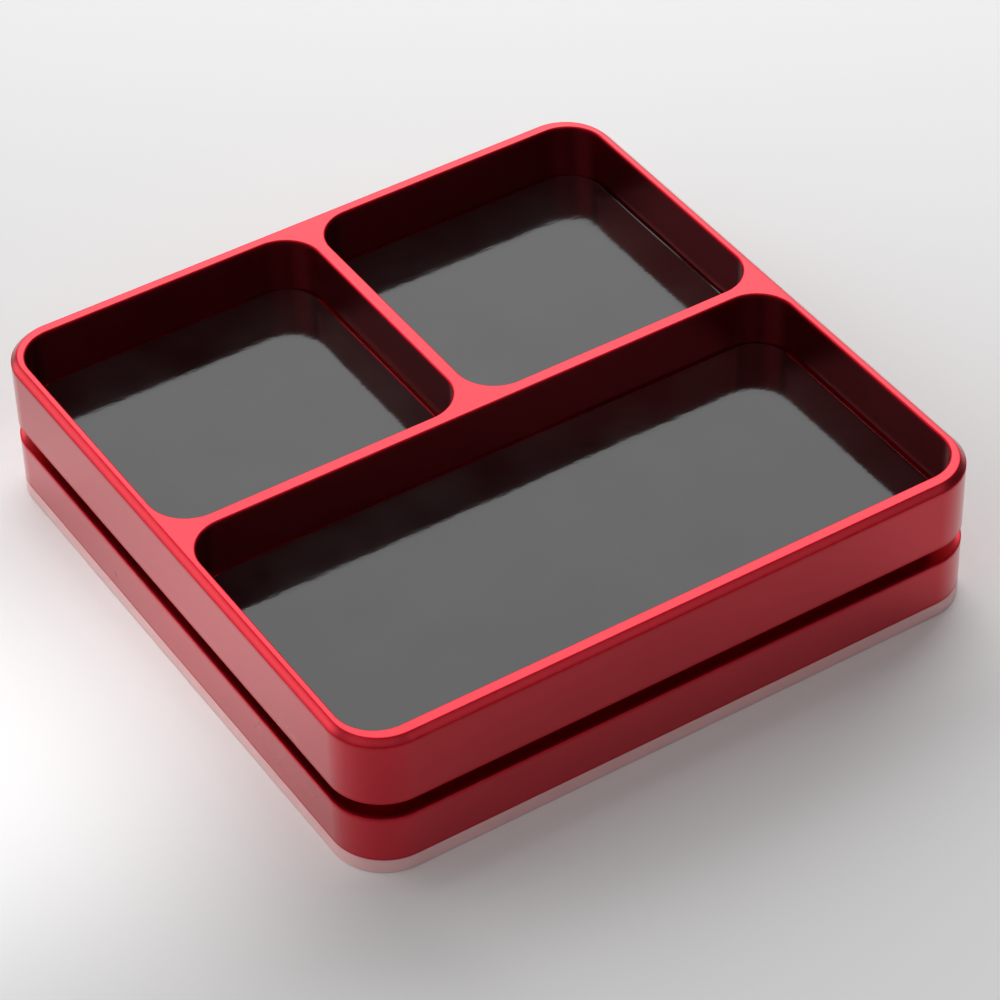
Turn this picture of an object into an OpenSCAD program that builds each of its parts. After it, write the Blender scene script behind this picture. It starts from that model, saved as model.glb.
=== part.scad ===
// Magnetic parts tray: a machined three-pocket tray screwed onto a base block that holds disc magnets.
// The origin is the middle of the underside. +X is right, +Y is back, +Z is up, in millimetres.

/* [Outline] */
// Width of the tray from left to right
tray_w = 100; // [80:1:160]
// Depth of the tray from front to back
tray_d = 100; // [80:1:160]
// Radius of the four upright outside corners
corner_r = 8; // [6.5:0.5:9.5]

/* [Tray] */
// Height of the tray's outside wall, from the groove to the rim
wall_h = 11.2; // [8:0.1:20]
// Thickness of the left and right walls
side_wall_t = 1.8; // [1.6:0.1:4]
// Thickness of the front wall
front_wall_t = 2.6; // [1.6:0.1:4]
// Thickness of the back wall
back_wall_t = 2.4; // [1.6:0.1:4]
// Thickness of the pockets' floors
floor_t = 1.5; // [1.5:0.1:3]
// Thickness of the ribs between the pockets
rib_t = 2; // [1.2:0.1:4]
// How far the cross rib lies behind the tray's middle
cross_rib_y = 0; // [-10:1:10]
// How far the short rib lies to the right of the tray's middle
short_rib_x = 0; // [-10:1:10]
// Radius of the pockets' upright corners
pocket_r = 6; // [5:0.5:8]
// Radius of the hollow edge between a pocket's floor and its walls
floor_fillet = 0.1; // [0.05:0.05:1.5]
// Chamfer along the outside of the rim
rim_chamfer = 0.9; // [0.4:0.1:1.2]
// Edge break along the pockets' mouths
mouth_chamfer = 0.15; // [0.05:0.05:0.3]

/* [Groove] */
// Height of the groove between the tray and the base
groove_h = 2.7; // [1:0.1:4]
// How far the groove goes in from the outside wall
groove_depth = 4; // [2:0.1:4.5]
// How far the base's neck reaches up into the recess under the tray
spigot_h = 0.4; // [0.3:0.1:1]
// Edge break along the groove's upper lip, under the tray's wall
tray_lip_chamfer = 0.1; // [0.05:0.05:0.5]
// Edge break along the groove's lower lip, on the base block
base_lip_chamfer = 0.1; // [0.05:0.05:0.5]

/* [Base] */
// Height of the base block's outside wall
base_h = 7.6; // [6:0.1:14]
// Thickness of the non-slip pad under the base block
pad_t = 2.4; // [1:0.1:4]
// Edge break along the pad's lower edge
pad_chamfer = 0.3; // [0.1:0.1:0.6]

/* [Mats] */
// Thickness of the floor mats
mat_t = 0.4; // [0.3:0.1:1.5]
// Gap between a mat and the foot of its pocket's hollow edge
mat_gap = 0.8; // [0.05:0.05:1]

/* [Magnets] */
// Diameter of a disc magnet
magnet_d = 10; // [6:0.5:12]
// Thickness of a disc magnet
magnet_t = 3; // [2:0.5:5]
// Distance from a pocket's wall to the middle of the magnets beside it
magnet_inset = 12; // [11:0.5:14]
// Edge break on a magnet's rims
magnet_chamfer = 0.3; // [0.1:0.05:0.5]

/* [Screws] */
// Thread diameter of the countersunk screws
screw_d = 2.5; // [2:0.5:3]
// Diameter of a screw's head
screw_head_d = 4.7; // [4.2:0.1:5.2]
// Length of a screw, head included
screw_len = 6; // [4:0.5:7]
// Distance from a pocket's wall to the middle of the screw beside it
screw_inset = 6; // [4.5:0.5:6.5]
// Width across the flats of the socket in a screw's head
socket_w = 1.5; // [1.2:0.1:2]

/* [Hidden] */
$fn = 96;
// Overrun of a cut past the face that it opens through
overrun = 1;
// Gap all round between the base's neck and the recess under the tray
spigot_gap = 0.1;
// Radial gap between a magnet and its bore
magnet_gap = 0.05;
// How far a magnet's face lies below the base's top
magnet_sink = 0.1;
// Gap between a screw and its hole, all round
screw_gap = 0.1;
// How far a screw's head lies below the pocket's floor
head_sink = 0.1;
// Depth of the straight edge round a screw's head, above its cone
head_edge_h = 0.2;
// Depth of the socket in a screw's head
socket_depth = 0.9;
// Room below a screw's tip in its tapped hole
tip_room = 0.6;

// Heights of the faces that the pieces meet at, from the ground up
base_z = pad_t;
lower_lip_z = base_z + base_h;
upper_lip_z = lower_lip_z + groove_h;
joint_z = upper_lip_z + spigot_h;
floor_z = joint_z + floor_t;
rim_z = upper_lip_z + wall_h;

// Inside faces of the side walls, the front wall and the back wall
inner_x = tray_w / 2 - side_wall_t;
front_y = front_wall_t - tray_d / 2;
back_y = tray_d / 2 - back_wall_t;

// The base's neck, which is the groove's inner face and carries the tray
neck_w = tray_w - 2 * groove_depth;
neck_d = tray_d - 2 * groove_depth;
neck_r = corner_r - groove_depth;

// Each pocket's lower left and upper right corner, seen from above
left_pocket = [[-inner_x, cross_rib_y + rib_t / 2], [short_rib_x - rib_t / 2, back_y]];
right_pocket = [[short_rib_x + rib_t / 2, cross_rib_y + rib_t / 2], [inner_x, back_y]];
front_pocket = [[-inner_x, front_y], [inner_x, cross_rib_y - rib_t / 2]];
pockets = [left_pocket, right_pocket, front_pocket];

function middle(pocket) = (pocket[0] + pocket[1]) / 2;
function extent(pocket) = pocket[1] - pocket[0];

// Magnets stand beside the pockets' walls, and the long pocket has both small ones' columns
left_columns = [left_pocket[0].x + magnet_inset, left_pocket[1].x - magnet_inset];
right_columns = [right_pocket[0].x + magnet_inset, right_pocket[1].x - magnet_inset];
back_rows = [left_pocket[0].y + magnet_inset, left_pocket[1].y - magnet_inset];
front_rows = [front_pocket[0].y + magnet_inset, front_pocket[1].y - magnet_inset];
left_magnet_places = [for (y = back_rows, x = left_columns) [x, y]];
right_magnet_places = [for (y = back_rows, x = right_columns) [x, y]];
front_magnet_places = [for (y = front_rows, x = concat(left_columns, right_columns)) [x, y]];
magnet_places = concat(left_magnet_places, right_magnet_places, front_magnet_places);

// Screws stand in the pockets' four outermost corners
screw_x = inner_x - screw_inset;
screw_rows = [front_y + screw_inset, back_y - screw_inset];
screw_places = [for (x = [-screw_x, screw_x], y = screw_rows) [x, y]];
head_top_z = floor_z - head_sink;
screw_tip_z = head_top_z - screw_len;

// Names of the magnets, in the order of their places
left_magnet_names = [for (i = [1 : len(left_magnet_places)]) str("left_magnet_", i)];
right_magnet_names = [for (i = [1 : len(right_magnet_places)]) str("right_magnet_", i)];
front_magnet_names = [for (i = [1 : len(front_magnet_places)]) str("front_magnet_", i)];
MAGNETS = concat(left_magnet_names, right_magnet_names, front_magnet_names);

// Rectangle with round corners, centred
module round_rectangle(w, d, r) {
    square([w - 2 * r, d], center = true);
    square([w, d - 2 * r], center = true);
    for (x = [r - w / 2, w / 2 - r], y = [r - d / 2, d / 2 - r])
        translate([x, y])
            circle(r);
}

module round_slab(w, d, r, h) {
    linear_extrude(h)
        round_rectangle(w, d, r);
}

// Layer whose sides lean in by its own height, from the given outline at its foot
module chamfer_layer(w, d, r, h) {
    trapezium_w = [[-w / 2, 0], [w / 2, 0], [w / 2 - h, h], [h - w / 2, h]];
    trapezium_d = [[-d / 2, 0], [d / 2, 0], [d / 2 - h, h], [h - d / 2, h]];
    rotate([90, 0, 0])
        linear_extrude(d - 2 * r, center = true)
            polygon(trapezium_w);
    rotate([90, 0, 90])
        linear_extrude(w - 2 * r, center = true)
            polygon(trapezium_d);
    for (x = [r - w / 2, w / 2 - r], y = [r - d / 2, d / 2 - r])
        translate([x, y])
            cylinder(h, r, r - h);
}

// Slab with round corners and a chamfer of its own along its upper and lower edge, or none at zero
module chamfered_slab(w, d, r, h, upper, lower) {
    translate([0, 0, lower])
        round_slab(w, d, r, h - upper - lower);
    if (upper > 0)
        translate([0, 0, h - upper])
            chamfer_layer(w, d, r, upper);
    if (lower > 0)
        translate([0, 0, lower])
            mirror([0, 0, 1])
                chamfer_layer(w, d, r, lower);
}

// Upright outline with round lower corners, from the middle out to both sides
module bowl_outline(w, h, r) {
    translate([-w / 2, r])
        square([w, h - r]);
    translate([r - w / 2, 0])
        square([w - 2 * r, h]);
    for (x = [r - w / 2, w / 2 - r])
        translate([x, r])
            circle(r);
}

// The right half of that outline, for turning about the upright axis
module half_bowl_outline(w, h, r) {
    translate([0, r])
        square([w / 2, h - r]);
    square([w / 2 - r, h]);
    translate([w / 2 - r, r])
        circle(r);
}

// Slab with round corners and a round lower edge all the way along
module bowl_slab(w, d, r, h, edge_r) {
    rotate([90, 0, 0])
        linear_extrude(d - 2 * r, center = true)
            bowl_outline(w, h, edge_r);
    rotate([90, 0, 90])
        linear_extrude(w - 2 * r, center = true)
            bowl_outline(d, h, edge_r);
    for (x = [r - w / 2, w / 2 - r], y = [r - d / 2, d / 2 - r])
        translate([x, y])
            rotate_extrude()
                half_bowl_outline(2 * r, h, edge_r);
}

// Pocket cut from its floor up through the rim, with the edge break round its mouth
module pocket_cut(pocket) {
    size = extent(pocket);
    mouth = size + 2 * mouth_chamfer * [1, 1];
    translate(middle(pocket)) {
        translate([0, 0, floor_z])
            bowl_slab(size.x, size.y, pocket_r, rim_z - floor_z + overrun, floor_fillet);
        translate([0, 0, rim_z])
            mirror([0, 0, 1])
                chamfer_layer(mouth.x, mouth.y, pocket_r + mouth_chamfer, mouth_chamfer);
    }
}

// Countersunk screw, or its hole where a gap is given, between two heights
module turned_screw(gap, tip_z, top_z) {
    shank_r = screw_d / 2 + gap;
    head_r = screw_head_d / 2 + gap;
    edge_z = head_top_z - head_edge_h;
    cone_z = edge_z - (head_r - shank_r);
    rotate_extrude()
        polygon([
            [0, tip_z],
            [shank_r, tip_z],
            [shank_r, cone_z],
            [head_r, edge_z],
            [head_r, top_z],
            [0, top_z]
        ]);
}

module screw_holes() {
    for (place = screw_places)
        translate(place)
            turned_screw(screw_gap, screw_tip_z - tip_room, floor_z + overrun);
}

module tray() {
    recess_w = neck_w + 2 * spigot_gap;
    recess_d = neck_d + 2 * spigot_gap;
    color([0.78, 0.08, 0.11])
        difference() {
            translate([0, 0, upper_lip_z])
                chamfered_slab(tray_w, tray_d, corner_r, wall_h, rim_chamfer, tray_lip_chamfer);
            translate([0, 0, upper_lip_z - overrun])
                round_slab(recess_w, recess_d, neck_r + spigot_gap, spigot_h + overrun);
            for (pocket = pockets)
                pocket_cut(pocket);
            screw_holes();
        }
}

// Sheet that lies on the flat of a pocket's floor
module floor_mat(pocket) {
    inset = floor_fillet + mat_gap;
    size = extent(pocket) - 2 * inset * [1, 1];
    color([0.05, 0.05, 0.05])
        translate([middle(pocket).x, middle(pocket).y, floor_z])
            round_slab(size.x, size.y, pocket_r - inset, mat_t);
}

module tray_screws() {
    color([0.55, 0.56, 0.58])
        for (place = screw_places)
            translate(place)
                difference() {
                    turned_screw(0, screw_tip_z, head_top_z);
                    translate([0, 0, head_top_z - socket_depth])
                        cylinder(socket_depth + overrun, d = socket_w / cos(30), $fn = 6);
                }
}

module base_block() {
    bore_depth = magnet_t + magnet_sink;
    color([0.72, 0.07, 0.1])
        difference() {
            union() {
                translate([0, 0, base_z])
                    chamfered_slab(tray_w, tray_d, corner_r, base_h, base_lip_chamfer, 0);
                translate([0, 0, lower_lip_z - base_lip_chamfer])
                    round_slab(neck_w, neck_d, neck_r, joint_z - lower_lip_z + base_lip_chamfer);
            }
            for (place = magnet_places)
                translate([place.x, place.y, joint_z - bore_depth])
                    cylinder(bore_depth + overrun, d = magnet_d + 2 * magnet_gap);
            screw_holes();
        }
}

// Disc magnet standing on the floor of its bore
module magnet(place) {
    color([0.75, 0.75, 0.77])
        translate([place.x, place.y, joint_z - magnet_sink - magnet_t]) {
            translate([0, 0, magnet_chamfer])
                cylinder(magnet_t - 2 * magnet_chamfer, d = magnet_d);
            cylinder(magnet_chamfer, d1 = magnet_d - 2 * magnet_chamfer, d2 = magnet_d);
            translate([0, 0, magnet_t - magnet_chamfer])
                cylinder(magnet_chamfer, d1 = magnet_d, d2 = magnet_d - 2 * magnet_chamfer);
        }
}

module base_pad() {
    color([0.86, 0.62, 0.62])
        chamfered_slab(tray_w, tray_d, corner_r, pad_t, 0, pad_chamfer);
}

tray();
floor_mat(left_pocket);  // left_floor_mat
floor_mat(right_pocket);  // right_floor_mat
floor_mat(front_pocket);  // front_floor_mat
tray_screws();
base_block();
base_pad();
for (i = [0 : len(MAGNETS) - 1])
    magnet(magnet_places[i]);
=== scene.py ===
import math

import bmesh
import bpy
from mathutils import Matrix, Vector, noise


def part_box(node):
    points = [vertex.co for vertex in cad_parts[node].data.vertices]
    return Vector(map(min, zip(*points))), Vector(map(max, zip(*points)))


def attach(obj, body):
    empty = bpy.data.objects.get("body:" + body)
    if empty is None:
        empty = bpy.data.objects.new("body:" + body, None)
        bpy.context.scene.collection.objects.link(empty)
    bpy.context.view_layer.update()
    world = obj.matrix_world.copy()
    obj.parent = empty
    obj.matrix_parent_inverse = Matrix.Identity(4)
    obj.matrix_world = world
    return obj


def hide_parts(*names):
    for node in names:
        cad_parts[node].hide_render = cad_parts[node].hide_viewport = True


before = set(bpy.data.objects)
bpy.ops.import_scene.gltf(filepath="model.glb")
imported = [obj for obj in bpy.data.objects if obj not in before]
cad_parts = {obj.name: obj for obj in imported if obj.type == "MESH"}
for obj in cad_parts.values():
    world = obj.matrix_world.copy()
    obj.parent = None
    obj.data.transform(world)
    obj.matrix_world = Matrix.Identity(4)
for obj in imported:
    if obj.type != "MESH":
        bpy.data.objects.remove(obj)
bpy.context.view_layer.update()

# Lengths of the part are in millimetres until a mesh or the camera is made
MM = 0.001
BODY = "root"

# Sizes of the part that the boxes of its solids don't give
CORNER_R = 8.0
POCKET_R = 6.0
FLOOR_FILLET = 0.1
MAT_INSET = 0.9
RIM_CHAMFER = 0.9
MOUTH_CHAMFER = 0.15
GROOVE_H = 2.7
GROOVE_DEPTH = 4.0
SPIGOT_GAP = 0.1
TRAY_LIP_CHAMFER = 0.1
BASE_LIP_CHAMFER = 0.1
MAGNET_BORE_R = 5.05
MAGNET_BORE_DEPTH = 3.1
SCREW_HOLE_R = 1.35
SCREW_HEAD_R = 2.45
SCREW_GAP = 0.1
SCREW_HEAD_DEPTH = 0.3
SCREW_HOLE_DEPTH = 5.2

# Softness of the machined edges, which the solids leave sharp
RIM_EDGE_R = 0.15
RIM_FOOT_R = 0.2
MOUTH_EDGE_R = 0.1
LIP_EDGE_R = 0.08
SEAM_EDGE_R = 0.14
PAD_FOOT_R = 0.3
HOLLOW_EDGE_R = 0.1

# Wear of the edges, kept at each point of a mesh, and how far it fades into the faces beside them
WEAR = "wear"
WORN = 1.0
FRESH = 0.0
WEAR_FADE = 0.6

# Width of the flat strips between a softened edge and the face that is filled in next to it
FLAT_MARGIN = 0.5
MOUTH_MARGIN = 0.12
RIM_MARGIN = 0.25

ARC_STEPS = 24
EDGE_STEPS = 5
HOLE_STEPS = 40
SHARP_ANGLE = math.radians(40)
QUARTER_TURN = math.pi / 2
EIGHTH_TURN = math.pi / 4
FULL_TURN = 2 * math.pi


def box_mm(node):
    low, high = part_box(node)
    return low / MM, high / MM


def rectangle_of(low, high, grown=0.0):
    return (low.x - grown, low.y - grown, high.x + grown, high.y + grown)


def middle_of(node):
    low, high = box_mm(node)
    return ((low.x + high.x) / 2, (low.y + high.y) / 2)


# Places that the boxes of the solids give

tray_low, tray_high = box_mm("tray")
base_low, base_high = box_mm("base_block")
pad_low, pad_high = box_mm("base_pad")
mat_low, mat_high = box_mm("front_floor_mat")
outside = rectangle_of(tray_low, tray_high)
rim_z = tray_high.z
upper_lip_z = tray_low.z
lower_lip_z = upper_lip_z - GROOVE_H
joint_z = base_high.z
floor_z = mat_low.z
mat_z = mat_high.z
pockets = [rectangle_of(*box_mm(f"{name}_floor_mat"), MAT_INSET) for name in ("left", "right", "front")]
magnets = sorted(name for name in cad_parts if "_magnet_" in name)

screw_low, screw_high = box_mm("tray_screws")
screw_head_r = SCREW_HEAD_R - SCREW_GAP
screw_columns = (screw_low.x + screw_head_r, screw_high.x - screw_head_r)
screw_rows = (screw_low.y + screw_head_r, screw_high.y - screw_head_r)
screw_places = [(x, y) for x in screw_columns for y in screw_rows]


# Outlines, profiles and meshes


def round_outline(rectangle, radius, inset):
    """Points of a rectangle with round corners, moved in all round by the inset."""
    x0, y0, x1, y1 = rectangle
    r = radius - inset
    corners = ((x1, y1, -1, -1), (x0, y1, 1, -1), (x0, y0, 1, 1), (x1, y0, -1, 1))
    points = []
    for quarter, (x, y, side_x, side_y) in enumerate(corners):
        centre_x = x + side_x * radius
        centre_y = y + side_y * radius
        for step in range(ARC_STEPS + 1):
            angle = QUARTER_TURN * (quarter + step / ARC_STEPS)
            points.append((centre_x + r * math.cos(angle), centre_y + r * math.sin(angle)))
    return points


def soften(corners):
    """Profile points (inset, height, wear) with each corner of (inset, height, radius, wear) rounded."""
    points = [Vector(corner[:2]) for corner in corners]
    first = (points[0].x, points[0].y, FRESH)
    last = (points[-1].x, points[-1].y, FRESH)
    profile = [first]
    for before, here, after, corner in zip(points, points[1:], points[2:], corners[1:]):
        to_before = (before - here).normalized()
        to_after = (after - here).normalized()
        half = to_before.angle(to_after) / 2
        radius, worn = corner[2:]
        reach = radius / math.tan(half)
        start = here + to_before * reach
        end = here + to_after * reach
        centre = here + (to_before + to_after).normalized() * radius / math.sin(half)
        if (Vector(profile[-1][:2]) - start).length > 2 * WEAR_FADE:
            calm = start + to_before * WEAR_FADE
            profile.append((calm.x, calm.y, FRESH))
        for step in range(EDGE_STEPS + 1):
            spread = start.lerp(end, step / EDGE_STEPS) - centre
            point = centre + spread.normalized() * radius
            profile.append((point.x, point.y, worn))
        if (after - end).length > 2 * WEAR_FADE:
            calm = end + to_after * WEAR_FADE
            profile.append((calm.x, calm.y, FRESH))
    return profile + [last]


def ring(bm, points, z, wear=FRESH):
    layer = bm.verts.layers.float[WEAR]
    verts = [bm.verts.new((x * MM, y * MM, z * MM)) for x, y in points]
    for vert in verts:
        vert[layer] = wear
    return verts


def bridge(bm, lower, upper):
    faces = []
    for i in range(len(lower)):
        j = (i + 1) % len(lower)
        faces.append(bm.faces.new((lower[i], lower[j], upper[j], upper[i])))
    return faces


def loft(bm, rectangle, radius, corners):
    """Skin along a softened profile all round an outline. Returns its first and last ring."""
    rings = [ring(bm, round_outline(rectangle, radius, inset), z, wear) for inset, z, wear in soften(corners)]
    for lower, upper in zip(rings, rings[1:]):
        bridge(bm, lower, upper)
    return rings[0], rings[-1]


def turned(bm, place, profile):
    """Skin of a round hole through the points (radius, height). Returns its first and last ring."""
    turn = [FULL_TURN * step / HOLE_STEPS for step in range(HOLE_STEPS)]
    rings = []
    for radius, z in profile:
        points = [(place[0] + radius * math.cos(a), place[1] + radius * math.sin(a)) for a in turn]
        rings.append(ring(bm, points, z))
    for lower, upper in zip(rings, rings[1:]):
        bridge(bm, lower, upper)
    return rings[0], rings[-1]


def fill(bm, *rings):
    """Flat face inside the first ring, with the other rings left open."""
    edges = []
    for verts in rings:
        for a, b in zip(verts, verts[1:] + verts[:1]):
            edges.append(bm.edges.get((a, b)) or bm.edges.new((a, b)))
    bmesh.ops.triangle_fill(bm, use_beauty=True, use_dissolve=False, edges=edges)


def new_mesh():
    bm = bmesh.new()
    bm.verts.layers.float.new(WEAR)
    return bm


def make_piece(name, bm, materials, slot, *nodes):
    bmesh.ops.recalc_face_normals(bm, faces=bm.faces)
    for face in bm.faces:
        face.smooth = True
    mesh = bpy.data.meshes.new(name)
    bm.to_mesh(mesh)
    bm.free()
    mesh.set_sharp_from_angle(angle=SHARP_ANGLE)
    for material in materials:
        mesh.materials.append(material)
    piece = bpy.data.objects.new(name, mesh)
    bpy.context.scene.collection.objects.link(piece)
    weighted = piece.modifiers.new("even_shading", "WEIGHTED_NORMAL")
    weighted.mode = "FACE_AREA"
    weighted.keep_sharp = True
    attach(piece, BODY)
    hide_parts(*nodes)


# Nodes that the materials share

NOISE_SPAN = (0.3, 0.7)
WHOLE = (0.0, 1.0)
EVEN = (1.0, 1.0, 1.0)
FULL_BUMP = 1.0
OPAQUE = 1.0

# Places of a colour mix among the sockets of its node
MIX_FIRST = 6
MIX_SECOND = 7
MIX_RESULT = 2


def new_material(name):
    material = bpy.data.materials.new(name)
    material.use_nodes = True
    tree = material.node_tree
    shader = tree.nodes["Principled BSDF"]
    coords = tree.nodes.new("ShaderNodeTexCoord")
    return material, tree, shader, coords.outputs["Object"]


def noise_of(tree, coords, scale, detail, stretch=EVEN):
    """Noise with about as many waves in a metre as its scale says."""
    mapping = tree.nodes.new("ShaderNodeMapping")
    mapping.inputs["Scale"].default_value = stretch
    tree.links.new(coords, mapping.inputs["Vector"])
    texture = tree.nodes.new("ShaderNodeTexNoise")
    texture.inputs["Scale"].default_value = scale
    texture.inputs["Detail"].default_value = detail
    tree.links.new(mapping.outputs["Vector"], texture.inputs["Vector"])
    return texture.outputs["Fac"]


def spread_of(tree, value, target, source=NOISE_SPAN):
    """The value stretched from its source range to its target range."""
    node = tree.nodes.new("ShaderNodeMapRange")
    node.inputs["From Min"].default_value = source[0]
    node.inputs["From Max"].default_value = source[1]
    node.inputs["To Min"].default_value = target[0]
    node.inputs["To Max"].default_value = target[1]
    tree.links.new(value, node.inputs["Value"])
    return node.outputs["Result"]


def math_of(tree, operation, a, b):
    node = tree.nodes.new("ShaderNodeMath")
    node.operation = operation
    tree.links.new(a, node.inputs[0])
    tree.links.new(b, node.inputs[1])
    return node.outputs["Value"]


def blend_of(tree, factor, first, second):
    """Colour between two colours or colour sockets."""
    node = tree.nodes.new("ShaderNodeMix")
    node.data_type = "RGBA"
    tree.links.new(factor, node.inputs["Factor"])
    for socket, colour in ((node.inputs[MIX_FIRST], first), (node.inputs[MIX_SECOND], second)):
        if isinstance(colour, tuple):
            socket.default_value = (*colour, OPAQUE)
        else:
            tree.links.new(colour, socket)
    return node.outputs[MIX_RESULT]


def tone_of(tree, value, tones):
    """Colour that wanders with a noise between two tones."""
    return blend_of(tree, spread_of(tree, value, WHOLE), *tones)


def bump_of(tree, height, depth, under=None):
    """Normal of a surface with bumps of a depth in metres, on top of the bumps under them."""
    node = tree.nodes.new("ShaderNodeBump")
    node.inputs["Strength"].default_value = FULL_BUMP
    node.inputs["Distance"].default_value = depth
    tree.links.new(height, node.inputs["Height"])
    if under is not None:
        tree.links.new(under, node.inputs["Normal"])
    return node.outputs["Normal"]


# Red anodised metal, whose worn edges are paler and less glossy

MOTTLE = {"scale": 55.0, "detail": 4.0}
GRAIN = {"scale": 4165.0, "detail": 2.0}
GRAIN_DEPTH = 2.2e-6
SCUFFS = {"scale": 705.0, "detail": 3.0}
SCUFF_SPAN = (0.45, 0.75)
RED_DYES = ((0.49, 0.010, 0.022), (0.53, 0.013, 0.028))
RED_ROUGHNESS = (0.27, 0.32)
RUBBED_RED = (0.86, 0.22, 0.22)
RUBBED_SHARE = (0.0, 0.04)
METALLIC_FRESH_TO_WORN = (1.0, 0.55)
COAT_FRESH_TO_WORN = (1.0, 0.0)
SHINE_FRESH_TO_WORN = (0.5, 0.0)
COAT_ROUGHNESS = 0.28
COAT_IOR = 1.3


def red_anodised():
    material, tree, shader, coords = new_material("red_anodised")
    mottle = noise_of(tree, coords, **MOTTLE)
    grain = noise_of(tree, coords, **GRAIN)
    scuffs = noise_of(tree, coords, **SCUFFS)
    attribute = tree.nodes.new("ShaderNodeAttribute")
    attribute.attribute_name = WEAR
    wear = attribute.outputs["Fac"]
    rubbed = math_of(tree, "MULTIPLY", wear, spread_of(tree, scuffs, RUBBED_SHARE, SCUFF_SPAN))
    tone = blend_of(tree, rubbed, tone_of(tree, mottle, RED_DYES), RUBBED_RED)
    tree.links.new(tone, shader.inputs["Base Color"])
    tree.links.new(spread_of(tree, mottle, RED_ROUGHNESS), shader.inputs["Roughness"])
    tree.links.new(bump_of(tree, grain, GRAIN_DEPTH), shader.inputs["Normal"])
    for socket, fresh_to_worn in (
        ("Metallic", METALLIC_FRESH_TO_WORN),
        ("Coat Weight", COAT_FRESH_TO_WORN),
        ("Specular IOR Level", SHINE_FRESH_TO_WORN),
    ):
        tree.links.new(spread_of(tree, wear, fresh_to_worn, WHOLE), shader.inputs[socket])
    shader.inputs["Coat Roughness"].default_value = COAT_ROUGHNESS
    shader.inputs["Coat IOR"].default_value = COAT_IOR
    return material


# Glossy black sheet and its cut edge

SMUDGE = {"scale": 90.0, "detail": 5.0}
RIPPLE = {"scale": 330.0, "detail": 2.0}
RIPPLE_DEPTH = 8.0e-6
STREAK = {"scale": 1100.0, "detail": 3.0, "stretch": (0.35, 1.0, 1.0)}
STREAK_DEPTH = 8.0e-6
BLACK_TONES = ((0.003, 0.003, 0.003), (0.011, 0.011, 0.011))
BLACK_ROUGHNESS = (0.07, 0.10)
BLACK_IOR = 1.47

FIBRE = {"scale": 900.0, "detail": 3.0, "stretch": (1.0, 1.0, 4.0)}
FIBRE_DEPTH = 2.0e-5
CUT_TONES = ((0.10, 0.10, 0.10), (0.26, 0.26, 0.26))
CUT_ROUGHNESS = (0.5, 0.7)


def black_mat():
    material, tree, shader, coords = new_material("black_mat")
    smudge = noise_of(tree, coords, **SMUDGE)
    ripple = noise_of(tree, coords, **RIPPLE)
    streak = noise_of(tree, coords, **STREAK)
    tree.links.new(tone_of(tree, smudge, BLACK_TONES), shader.inputs["Base Color"])
    tree.links.new(spread_of(tree, smudge, BLACK_ROUGHNESS), shader.inputs["Roughness"])
    fine = bump_of(tree, streak, STREAK_DEPTH)
    tree.links.new(bump_of(tree, ripple, RIPPLE_DEPTH, fine), shader.inputs["Normal"])
    shader.inputs["IOR"].default_value = BLACK_IOR
    return material


def mat_edge():
    material, tree, shader, coords = new_material("mat_cut_edge")
    fibre = noise_of(tree, coords, **FIBRE)
    tree.links.new(tone_of(tree, fibre, CUT_TONES), shader.inputs["Base Color"])
    tree.links.new(spread_of(tree, fibre, CUT_ROUGHNESS), shader.inputs["Roughness"])
    tree.links.new(bump_of(tree, fibre, FIBRE_DEPTH), shader.inputs["Normal"])
    return material


# Frosted silicone, whose pink base colour is painted red light from the metal above it

SILICONE_CLOUD = {"scale": 35.0, "detail": 3.0}
SPECK = {"scale": 1500.0, "detail": 2.0}
SPECK_DEPTH = 6.0e-6
# Pale silicone tone with the red light of the metal above painted into it
SILICONE_TONES_WITH_PAINTED_RED = ((0.95, 0.52, 0.52), (0.98, 0.58, 0.59))
SILICONE_ROUGHNESS = (0.34, 0.48)
SILICONE_IOR = 1.41
MILKINESS = 0.4
MILK_COLOURS = (1.0, 0.5, 0.5)
MILK_DEPTH = 0.002


def clear_silicone():
    material, tree, shader, coords = new_material("clear_silicone")
    cloud = noise_of(tree, coords, **SILICONE_CLOUD)
    speck = noise_of(tree, coords, **SPECK)
    # The pad's pink tone is painted red light from the metal above, not a lamp's
    tree.links.new(tone_of(tree, cloud, SILICONE_TONES_WITH_PAINTED_RED), shader.inputs["Base Color"])
    tree.links.new(spread_of(tree, speck, SILICONE_ROUGHNESS), shader.inputs["Roughness"])
    tree.links.new(bump_of(tree, speck, SPECK_DEPTH), shader.inputs["Normal"])
    shader.inputs["IOR"].default_value = SILICONE_IOR
    shader.inputs["Subsurface Weight"].default_value = MILKINESS
    shader.inputs["Subsurface Radius"].default_value = MILK_COLOURS
    shader.inputs["Subsurface Scale"].default_value = MILK_DEPTH
    return material


# Plated screws and magnets

PLATING = {"scale": 600.0, "detail": 3.0}
PLATING_DEPTH = 2.0e-6
STEEL_TONES = ((0.50, 0.51, 0.53), (0.60, 0.61, 0.63))
STEEL_ROUGHNESS = (0.28, 0.40)
STEEL_LINES = (6.0, 6.0, 1.0)
NICKEL_TONES = ((0.70, 0.69, 0.67), (0.78, 0.77, 0.75))
NICKEL_ROUGHNESS = (0.10, 0.18)
FULL_METAL = 1.0


def plated_metal(name, tones, roughness, stretch):
    material, tree, shader, coords = new_material(name)
    lines = noise_of(tree, coords, stretch=stretch, **PLATING)
    tree.links.new(tone_of(tree, lines, tones), shader.inputs["Base Color"])
    tree.links.new(spread_of(tree, lines, roughness), shader.inputs["Roughness"])
    tree.links.new(bump_of(tree, lines, PLATING_DEPTH), shader.inputs["Normal"])
    shader.inputs["Metallic"].default_value = FULL_METAL
    return material


# Pale floor

FLOOR_CLOUD = {"scale": 3.0, "detail": 2.0}
FLOOR_TONES = ((0.90, 0.90, 0.90), (0.92, 0.92, 0.92))
FLOOR_ROUGHNESS = (0.85, 0.95)
FLOOR_SHINE = 0.1


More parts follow.
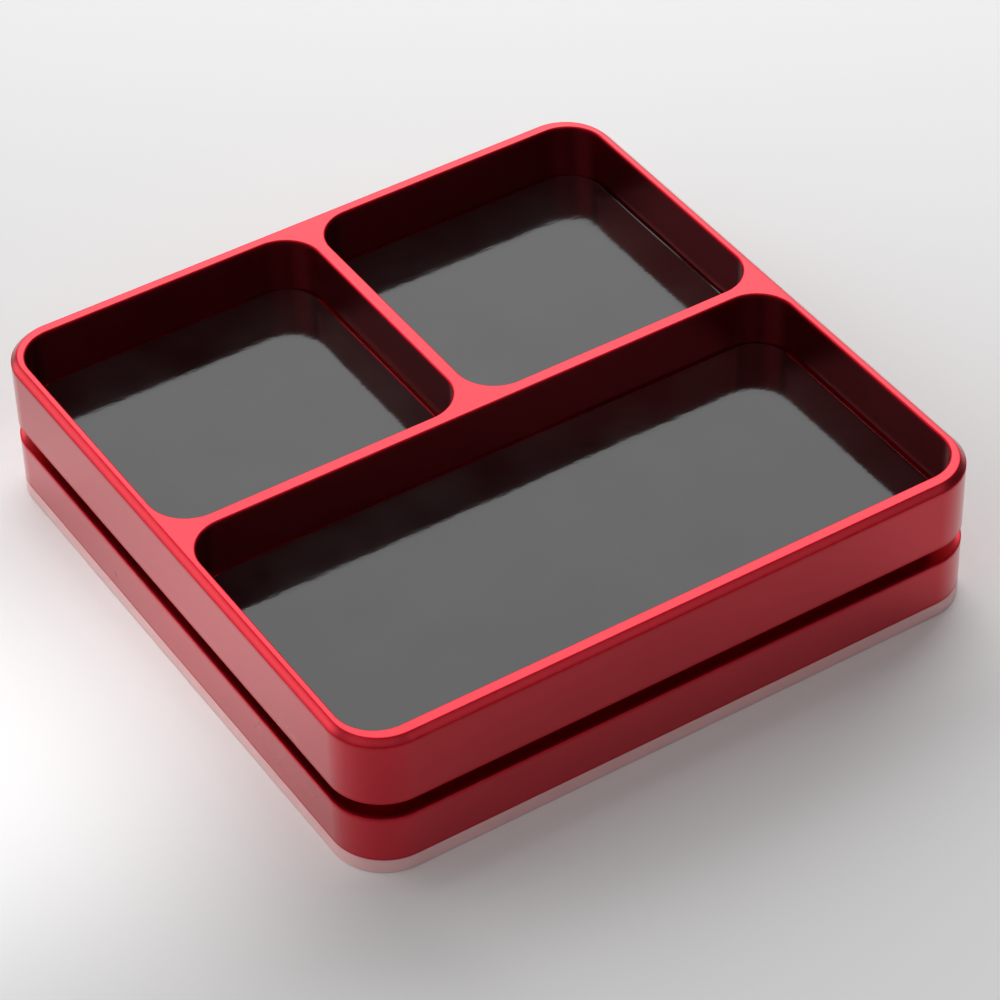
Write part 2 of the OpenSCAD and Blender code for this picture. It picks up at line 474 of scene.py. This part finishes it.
def pale_floor():
    material, tree, shader, coords = new_material("pale_floor")
    cloud = noise_of(tree, coords, **FLOOR_CLOUD)
    tree.links.new(tone_of(tree, cloud, FLOOR_TONES), shader.inputs["Base Color"])
    tree.links.new(spread_of(tree, cloud, FLOOR_ROUGHNESS), shader.inputs["Roughness"])
    shader.inputs["Specular IOR Level"].default_value = FLOOR_SHINE
    return material


RED = red_anodised()
BLACK = black_mat()
CUT_EDGE = mat_edge()
SILICONE = clear_silicone()
STEEL = plated_metal("screw_steel", STEEL_TONES, STEEL_ROUGHNESS, STEEL_LINES)
NICKEL = plated_metal("magnet_nickel", NICKEL_TONES, NICKEL_ROUGHNESS, EVEN)


# Tray, base and pad


def build_tray():
    bm = new_mesh()
    recess_inset = GROOVE_DEPTH - SPIGOT_GAP
    rim, ceiling_edge = loft(bm, outside, CORNER_R, [
        (RIM_CHAMFER + RIM_MARGIN, rim_z),
        (RIM_CHAMFER, rim_z, RIM_EDGE_R, WORN),
        (0.0, rim_z - RIM_CHAMFER, RIM_FOOT_R, WORN),
        (0.0, upper_lip_z + TRAY_LIP_CHAMFER, LIP_EDGE_R, WORN),
        (TRAY_LIP_CHAMFER, upper_lip_z, LIP_EDGE_R, WORN),
        (recess_inset, upper_lip_z, HOLLOW_EDGE_R, FRESH),
        (recess_inset, joint_z),
    ])
    cone_z = floor_z - SCREW_HEAD_DEPTH - (SCREW_HEAD_R - SCREW_HOLE_R)
    mouths = []
    holes = []
    for x0, y0, x1, y1 in pockets:
        mouth, floor_edge = loft(bm, (x0, y0, x1, y1), POCKET_R, [
            (-MOUTH_CHAMFER - MOUTH_MARGIN, rim_z),
            (-MOUTH_CHAMFER, rim_z, MOUTH_EDGE_R, WORN),
            (0.0, rim_z - MOUTH_CHAMFER, MOUTH_EDGE_R, WORN),
            (0.0, floor_z, FLOOR_FILLET, FRESH),
            (FLOOR_FILLET + FLAT_MARGIN, floor_z),
        ])
        mouths.append(mouth)
        floor_holes = []
        for x, y in screw_places:
            if x0 < x < x1 and y0 < y < y1:
                top, bottom = turned(bm, (x, y), [
                    (SCREW_HEAD_R, floor_z),
                    (SCREW_HEAD_R, floor_z - SCREW_HEAD_DEPTH),
                    (SCREW_HOLE_R, cone_z),
                    (SCREW_HOLE_R, joint_z),
                ])
                floor_holes.append(top)
                holes.append(bottom)
        fill(bm, floor_edge, *floor_holes)
    fill(bm, rim, *mouths)
    fill(bm, ceiling_edge, *holes)
    make_piece("tray_shell", bm, [RED], "red_anodised", "tray")


def build_base():
    bm = new_mesh()
    plateau, foot = loft(bm, outside, CORNER_R, [
        (GROOVE_DEPTH + FLAT_MARGIN, joint_z),
        (GROOVE_DEPTH, joint_z, HOLLOW_EDGE_R, FRESH),
        (GROOVE_DEPTH, lower_lip_z, HOLLOW_EDGE_R, FRESH),
        (BASE_LIP_CHAMFER, lower_lip_z, LIP_EDGE_R, WORN),
        (0.0, lower_lip_z - BASE_LIP_CHAMFER, LIP_EDGE_R, WORN),
        (0.0, base_low.z, SEAM_EDGE_R, WORN),
        (FLAT_MARGIN, base_low.z),
    ])
    holes = []
    bores = [(middle_of(name), MAGNET_BORE_R, MAGNET_BORE_DEPTH) for name in magnets]
    bores += [(place, SCREW_HOLE_R, SCREW_HOLE_DEPTH) for place in screw_places]
    for place, radius, depth in bores:
        mouth, end = turned(bm, place, [(radius, joint_z), (radius, joint_z - depth)])
        holes.append(mouth)
        fill(bm, end)
    fill(bm, plateau, *holes)
    fill(bm, foot)
    make_piece("base_body", bm, [RED], "red_anodised", "base_block")


def build_pad():
    bm = new_mesh()
    top, foot = loft(bm, outside, CORNER_R, [
        (FLAT_MARGIN, pad_high.z),
        (0.0, pad_high.z, SEAM_EDGE_R, FRESH),
        (0.0, pad_low.z, PAD_FOOT_R, FRESH),
        (PAD_FOOT_R + FLAT_MARGIN, pad_low.z),
    ])
    fill(bm, top)
    fill(bm, foot)
    make_piece("silicone_pad", bm, [SILICONE], "clear_silicone", "base_pad")


# Floor mats: thin sheets, gently rippled, whose right edges turn up a little

MAT_EDGE_R = 0.06
MAT_FINE_STEPS = (0.0, 0.12, 0.25, 0.4, 0.6, 0.85, 1.2, 1.7, 2.4, 3.2, 4.1)
MAT_STEP = 1.2
LONG_RIPPLE = 14.0
SHORT_RIPPLE = 4.0
RIPPLE_HEIGHTS = {LONG_RIPPLE: 0.012, SHORT_RIPPLE: 0.002}

# Where a mat may bulge, measured in from its back right corner, and how wide
BULGE_X = 2.0
BULGE_Y = 8.0
BULGE_R = 4.0

# How far each mat has slid in its pocket, and how high and how wide its right edge turns up
MATS = (
    {"name": "left", "seed": 1.7, "slid": (0.45, 0.55), "turn_h": 0.02, "turn_w": 0.9},
    {"name": "right", "seed": 5.3, "slid": (0.6, 0.5), "turn_h": 0.06, "turn_w": 0.3, "bulge_h": 0.16},
    {"name": "front", "seed": 9.1, "slid": (0.45, 0.55), "turn_h": 0.05, "turn_w": 0.3},
)


def steps_across(low, high, radius):
    """Places from low to high, close together near both ends and evenly spaced between the corners."""
    edge = [step for step in MAT_FINE_STEPS if step < radius] + [radius]
    count = round((high - low - 2 * radius) / MAT_STEP)
    span = (high - low - 2 * radius) / count
    inner = [low + radius + span * i for i in range(1, count)]
    return [low + step for step in edge] + inner + [high - step for step in reversed(edge)]


def round_corner(x, y, rectangle, radius):
    """Moves a point of a square corner's grid onto the round corner's grid. Returns it and the way out."""
    x0, y0, x1, y1 = rectangle
    centre = Vector((min(max(x, x0 + radius), x1 - radius), min(max(y, y0 + radius), y1 - radius)))
    arm = Vector((x, y)) - centre
    if arm.length > 0:
        arm *= max(abs(arm.x), abs(arm.y)) / arm.length
    way_out = arm.normalized() if arm.length > 0 else arm
    return centre + arm, way_out


def build_mat(name, seed, slid, turn_h, turn_w, bulge_h=0.0):
    node = f"{name}_floor_mat"
    low, high = box_mm(node)
    slid_x, slid_y = slid
    rectangle = (low.x + slid_x, low.y + slid_y, high.x + slid_x, high.y + slid_y)
    radius = POCKET_R - MAT_INSET
    x_steps = steps_across(rectangle[0], rectangle[2], radius)
    y_steps = steps_across(rectangle[1], rectangle[3], radius)

    def height(x, y):
        z = mat_z
        for length, depth in RIPPLE_HEIGHTS.items():
            z += depth * noise.noise(Vector((x / length, y / length, seed)))
        from_edge = (rectangle[2] - x) / turn_w
        if from_edge < 1.0:
            along = noise.noise(Vector((y / LONG_RIPPLE, seed, 0.0)))
            z += turn_h * (1.0 + along) * (1.0 - from_edge) ** 2
        reach = Vector((x - rectangle[2] + BULGE_X, y - rectangle[3] + BULGE_Y)).length / BULGE_R
        return z + bulge_h * math.exp(-reach * reach)

    bm = new_mesh()
    grid = []
    for y in y_steps:
        row = []
        for x in x_steps:
            point, _ = round_corner(x, y, rectangle, radius)
            row.append(bm.verts.new((point.x * MM, point.y * MM, height(point.x, point.y) * MM)))
        grid.append(row)
    for lower, upper in zip(grid, grid[1:]):
        for i in range(len(lower) - 1):
            bm.faces.new((lower[i], lower[i + 1], upper[i + 1], upper[i]))

    border = grid[0] + [row[-1] for row in grid[1:-1]] + grid[-1][::-1] + [row[0] for row in grid[-2:0:-1]]
    places = [(x, y_steps[0]) for x in x_steps]
    places += [(x_steps[-1], y) for y in y_steps[1:-1]]
    places += [(x, y_steps[-1]) for x in x_steps[::-1]]
    places += [(x_steps[0], y) for y in y_steps[-2:0:-1]]
    shoulder = []
    side = []
    foot = []
    for vert, (x, y) in zip(border, places):
        point, way_out = round_corner(x, y, rectangle, radius)
        out = point + way_out * MAT_EDGE_R
        bevel = point + way_out * MAT_EDGE_R * math.sin(EIGHTH_TURN)
        top = vert.co.z / MM
        bevel_z = top - MAT_EDGE_R * (1 - math.cos(EIGHTH_TURN))
        shoulder.append(bm.verts.new((bevel.x * MM, bevel.y * MM, bevel_z * MM)))
        side.append(bm.verts.new((out.x * MM, out.y * MM, (top - MAT_EDGE_R) * MM)))
        foot.append(bm.verts.new((out.x * MM, out.y * MM, floor_z * MM)))
    bridge(bm, border, shoulder)
    bridge(bm, shoulder, side)
    for face in bridge(bm, side, foot):
        face.material_index = 1
    bm.faces.new(foot)
    make_piece(f"{name}_mat_sheet", bm, [BLACK, CUT_EDGE], "black_mat", node)


build_tray()
build_base()
build_pad()
for mat in MATS:
    build_mat(**mat)


# Hidden screws and magnets keep their solids


def plate(node, material):
    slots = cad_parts[node].data.materials
    slots.clear()
    slots.append(material)


plate("tray_screws", STEEL)
for magnet in magnets:
    plate(magnet, NICKEL)


# Camera

LENS = 142.0394
SENSOR = 36.0
CLIP_START = 0.01
CAMERA_PLACE = Vector((-217.481, -355.432, 374.893)) * MM
CAMERA_RIGHT = Vector((0.840066, -0.542101, -0.020374))
CAMERA_UP = Vector((0.372397, 0.548960, 0.748307))
CAMERA_BACK = Vector((-0.394474, -0.636214, 0.663040))

camera_data = bpy.data.cameras.new("camera")
camera_data.lens = LENS
camera_data.sensor_width = SENSOR
camera_data.clip_start = CLIP_START
camera = bpy.data.objects.new("camera", camera_data)
camera.matrix_world = Matrix.Translation(CAMERA_PLACE) @ Matrix(
    (CAMERA_RIGHT, CAMERA_UP, CAMERA_BACK)
).transposed().to_4x4()
bpy.context.scene.collection.objects.link(camera)
bpy.context.scene.camera = camera


# Floor and light, in metres

FLOOR_HALF = 4.0
FLOOR_CORNERS = ((-1, -1), (1, -1), (1, 1), (-1, 1))
WHITE = (1.0, 1.0, 1.0)
OPEN_SPREAD = 180.0

# Soft patches of the sky: the way to the middle, the cosines where light begins and is full, and its strength
GLOWS = (
    {"axis": (-0.66, 0.70, 0.25), "reach": (0.86, 0.97), "strength": 1.9},
    {"axis": (0.36, -0.70, 0.62), "reach": (0.88, 1.0), "strength": 0.22},
    {"axis": (-0.70, -0.12, 0.70), "reach": (0.84, 1.0), "strength": 0.8},
    {"axis": (-0.20, -0.58, 0.79), "reach": (0.88, 1.0), "strength": 0.62},
    {"axis": (0.0, 0.0, 1.0), "reach": (-0.6, 0.2), "strength": 0.04},
)

LAMPS = (
    {
        "name": "back_softbox",
        "place": (0.320, 0.460, 0.400),
        "target": (0.0, 0.0, 0.02),
        "width": 0.90,
        "height": 0.60,
        "radiance": 2.7,
    },
    {
        "name": "top_softbox",
        "place": (0.05, 0.10, 0.60),
        "target": (0.05, 0.10, 0.0),
        "width": 0.5,
        "height": 0.3,
        "radiance": 1.0,
    },
    {
        "name": "left_softbox",
        "place": (-0.077, 0.004, 0.120),
        "target": (-0.075, 0.004, 0.0),
        "width": 0.07,
        "height": 0.20,
        "radiance": 0.46,
        "spread": 36.0,
    },
    {
        "name": "front_strip",
        "place": (0.0236, -0.0893, 0.0617),
        "target": (0.0, -0.0495, 0.0235),
        "width": 0.14,
        "height": 0.036,
        "radiance": 0.019,
        "spread": 24.0,
    },
)


def build_floor():
    bm = bmesh.new()
    bm.faces.new([bm.verts.new((x * FLOOR_HALF, y * FLOOR_HALF, 0.0)) for x, y in FLOOR_CORNERS])
    mesh = bpy.data.meshes.new("floor")
    bm.to_mesh(mesh)
    bm.free()
    mesh.materials.append(pale_floor())
    floor = bpy.data.objects.new("floor", mesh)
    bpy.context.scene.collection.objects.link(floor)


def softbox(name, place, target, width, height, radiance, spread=OPEN_SPREAD):
    """Rectangular lamp whose light fans out by the spread, in degrees, as through a grid."""
    data = bpy.data.lights.new(name, "AREA")
    data.shape = "RECTANGLE"
    data.size = width
    data.size_y = height
    data.spread = math.radians(spread)
    data.energy = radiance * math.pi * width * height
    lamp = bpy.data.objects.new(name, data)
    lamp.location = place
    lamp.rotation_euler = (Vector(place) - Vector(target)).to_track_quat("Z", "Y").to_euler()
    lamp.visible_camera = False
    bpy.context.scene.collection.objects.link(lamp)


def glow_of(tree, coords, axis, reach, strength):
    """Light from the sky round an axis, which fades out between two cosines."""
    aim = tree.nodes.new("ShaderNodeVectorMath")
    aim.operation = "DOT_PRODUCT"
    aim.inputs[1].default_value = Vector(axis).normalized()
    tree.links.new(coords, aim.inputs[0])
    fade = tree.nodes.new("ShaderNodeMapRange")
    fade.interpolation_type = "SMOOTHSTEP"
    fade.inputs["From Min"].default_value = reach[0]
    fade.inputs["From Max"].default_value = reach[1]
    fade.inputs["To Max"].default_value = strength
    tree.links.new(aim.outputs["Value"], fade.inputs["Value"])
    return fade.outputs["Result"]


def build_world():
    world = bpy.data.worlds.new("studio")
    bpy.context.scene.world = world
    world.use_nodes = True
    tree = world.node_tree
    background = tree.nodes["Background"]
    background.inputs["Color"].default_value = (*WHITE, OPAQUE)
    coords = tree.nodes.new("ShaderNodeTexCoord").outputs["Generated"]
    first, *others = [glow_of(tree, coords, **glow) for glow in GLOWS]
    light = first
    for glow in others:
        light = math_of(tree, "ADD", light, glow)
    tree.links.new(light, background.inputs["Strength"])


build_floor()
build_world()
for lamp_values in LAMPS:
    softbox(**lamp_values)

bpy.context.scene.view_settings.view_transform = "Standard"
